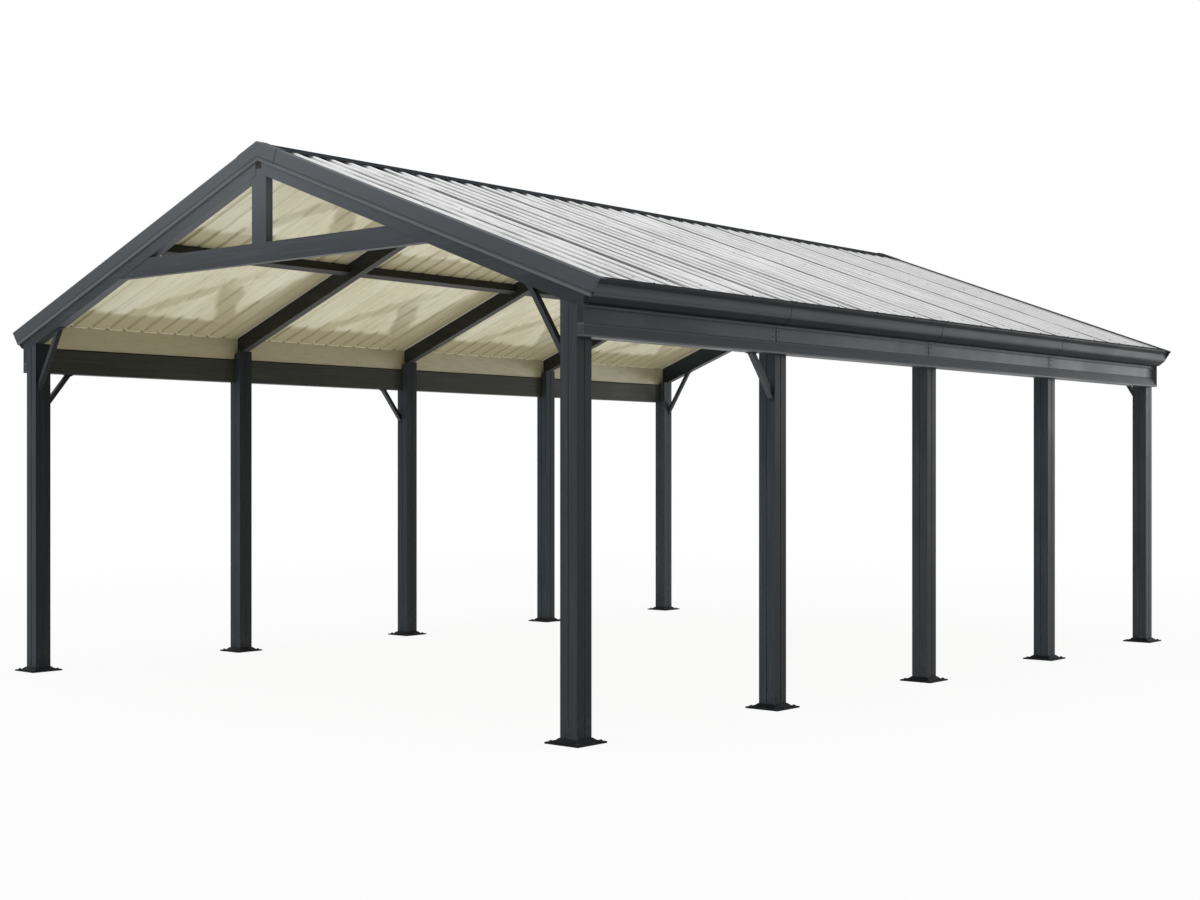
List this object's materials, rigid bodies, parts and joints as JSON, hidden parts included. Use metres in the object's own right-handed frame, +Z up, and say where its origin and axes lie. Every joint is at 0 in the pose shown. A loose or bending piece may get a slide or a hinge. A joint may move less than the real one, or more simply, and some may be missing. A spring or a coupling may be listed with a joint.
{
  "type": "carport",
  "caption": "Open double carport with a ribbed metal gable roof on two rows of square posts, moulded eave beams, gable trusses and knee braces.",
  "frame": {"origin": "middle of the footprint on the floor, at the underside of the base plates", "axes": "+Z up, +Y along the ridge to the back gable, +X across the gables to the right-hand eave"},
  "size_m": [5.692, 7.6, 3.5471],
  "materials": {
    "frame_paint": "satin anthracite powder coat on the posts, beams, rafters and trims",
    "roof_sheet": "pale grey weathered coating on top, cream lacquer below",
    "eave_lining": "olive cream lacquer like the underside of the sheets, a little darker"
  },
  "bodies": {
    "root": {"apex_covers": "frame_paint", "base_plates_left": "frame_paint", "base_plates_right": "frame_paint", "beam_end_caps": "frame_paint", "eave_beam_left_1": "frame_paint", "eave_beam_left_2": "frame_paint", "eave_beam_left_3": "frame_paint", "eave_beam_left_4": "frame_paint", "eave_beam_right_1": "frame_paint", "eave_beam_right_2": "frame_paint", "eave_beam_right_3": "frame_paint", "eave_beam_right_4": "frame_paint", "eave_boards_left": "eave_lining", "eave_boards_right": "eave_lining", "eave_trim_left": "frame_paint", "eave_trim_right": "frame_paint", "gable_braces": "frame_paint", "king_posts": "frame_paint", "post_left_1": "frame_paint", "post_left_2": "frame_paint", "post_left_3": "frame_paint", "post_left_4": "frame_paint", "post_left_5": "frame_paint", "post_right_1": "frame_paint", "post_right_2": "frame_paint", "post_right_3": "frame_paint", "post_right_4": "frame_paint", "post_right_5": "frame_paint", "purlins_left": "frame_paint", "purlins_right": "frame_paint", "rafters_2": "frame_paint", "rafters_3": "frame_paint", "rafters_4": "frame_paint", "rafters_back": "frame_paint", "rafters_front": "frame_paint", "rake_trims": "frame_paint", "ridge_beam": "frame_paint", "ridge_cap": "frame_paint", "roof_sheets_left": "roof_sheet", "roof_sheets_right": "roof_sheet", "side_braces": "frame_paint", "tie_beams": "frame_paint", "wall_plates_left": "frame_paint", "wall_plates_right": "frame_paint"}
  },
  "joints": []
}
